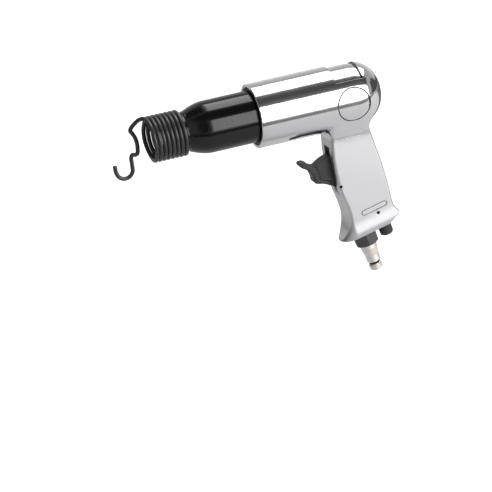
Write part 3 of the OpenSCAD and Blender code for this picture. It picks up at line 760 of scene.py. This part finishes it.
def studio_ring(name, levels, r, x0, x1):
    """A dim curved backdrop about X, unseen by the camera; levels are angles and their radiance."""
    angles = np.radians([a for a, _ in levels])
    verts = [(x, r * math.cos(a), r * math.sin(a)) for a in angles for x in (x0, x1)]
    mesh = bpy.data.meshes.new(name)
    mesh.from_pydata(verts, [], [(2 * i, 2 * i + 1, 2 * i + 3, 2 * i + 2) for i in range(len(levels) - 1)])
    layer = mesh.attributes.new("glow", "FLOAT", "POINT")
    layer.data.foreach_set("value", [float(g) for _, g in levels for _ in (0, 1)])
    ring = bpy.data.objects.new(name, mesh)
    ring.visible_camera = False
    ring.visible_shadow = False
    bpy.context.scene.collection.objects.link(ring)
    shader = Shader(name, (0, 0, 0), roughness=1.0)
    glow = shader.tree.nodes.new("ShaderNodeAttribute")
    glow.attribute_name = "glow"
    shader.bsdf.inputs["Emission Color"].default_value = (1, 1, 1, 1)
    shader.bsdf.inputs["Specular IOR Level"].default_value = 0
    shader.set("Emission Strength", glow.outputs["Fac"])
    mesh.materials.append(shader.material)
    ring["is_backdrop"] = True


studio_ring("upper_card", [(39, 0.2), (46, 0.12), (60, 0.065), (70, 0.08), (76, 0.13), (80, 0.2), (86, 0.5)],
            1.1, 0.5, -1.6)
studio_ring("back_card", [(126, 0.4), (140, 0.42), (152, 0.54), (164, 0.64), (172, 0.8), (181, 0.95)],
            1.12, 0.8, -1.6)

studio_ring("fore_card", [(-6, 0.6), (60, 0.5), (120, 0.3)], 1.4, 2.0, 0.55)
studio_ring("rear_card", [(-4, 0.45), (60, 0.4), (110, 0.4), (170, 0.5)], 1.4, -1.62, -3.2)

floor_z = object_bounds()[0][2] - 0.02
floor_mesh = bpy.data.meshes.new("floor")
floor_mesh.from_pydata([(-40, -40, floor_z), (40, -40, floor_z), (40, 40, floor_z), (-40, 40, floor_z)],
                       [], [(0, 1, 2, 3)])
floor = bpy.data.objects.new("floor", floor_mesh)
bpy.context.scene.collection.objects.link(floor)
paper = Shader("pale_paper", (0.64, 0.64, 0.64), roughness=0.9)
paper.bsdf.inputs["Emission Color"].default_value = (1, 1, 1, 1)
seen = paper.tree.nodes.new("ShaderNodeLightPath").outputs["Is Camera Ray"]
paper.set("Emission Strength", paper.ramp(seen, 0, 1, 0, 0.75))
floor_mesh.materials.append(paper.material)
floor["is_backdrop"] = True

strip_mesh = bpy.data.meshes.new("floor_strip")
strip_z = floor_z + 0.001
strip_corners = ((0.3, 0.32), (-1.5, 0.32), (-1.5, 0.6), (0.3, 0.6),
                 (-0.24, -1.6), (-1.5, -1.6), (-1.5, -0.14), (-0.24, -0.14))
strip_mesh.from_pydata([(x, y, strip_z) for x, y in strip_corners], [], [(0, 1, 2, 3), (4, 5, 6, 7)])
strip = bpy.data.objects.new("floor_strip", strip_mesh)
strip.visible_camera = strip.visible_diffuse = strip.visible_shadow = False
bpy.context.scene.collection.objects.link(strip)
strip_mesh.materials.append(Shader("grey_strip", (0.13, 0.13, 0.13), roughness=1.0).material)
strip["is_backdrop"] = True

world = bpy.data.worlds.new("studio")
bpy.context.scene.world = world
world.use_nodes = True
wt = world.node_tree
background = wt.nodes["Background"]
ray = wt.nodes.new("ShaderNodeLightPath")
tone = wt.nodes.new("ShaderNodeMix")
tone.data_type = "RGBA"
tone.inputs[6].default_value = (0.08, 0.08, 0.082, 1)
tone.inputs[7].default_value = (0.95, 0.95, 0.95, 1)
wt.links.new(ray.outputs["Is Camera Ray"], tone.inputs[0])
wt.links.new(tone.outputs[2], background.inputs["Color"])
background.inputs["Strength"].default_value = 1.0

camera_data = bpy.data.cameras.new("camera")
camera_data.sensor_width = 36
camera_data.lens = 36 * 3343.09 / 492
camera_data.clip_end = 200
camera = bpy.data.objects.new("camera", camera_data)
right = Vector((-0.9376691, 0.3204858, -0.1344080))
up = Vector((-0.2251981, -0.2657577, 0.9373680))
back = Vector((0.2646932, 0.9092094, 0.3213656))
rotation = Matrix((right, up, back)).transposed().to_4x4()
camera.matrix_world = Matrix.Translation((0.6189290, 2.2896066, 0.7107210)) @ rotation
bpy.context.scene.collection.objects.link(camera)
bpy.context.scene.camera = camera
bpy.context.scene.view_settings.view_transform = "Standard"
bpy.context.scene.view_settings.look = "None"
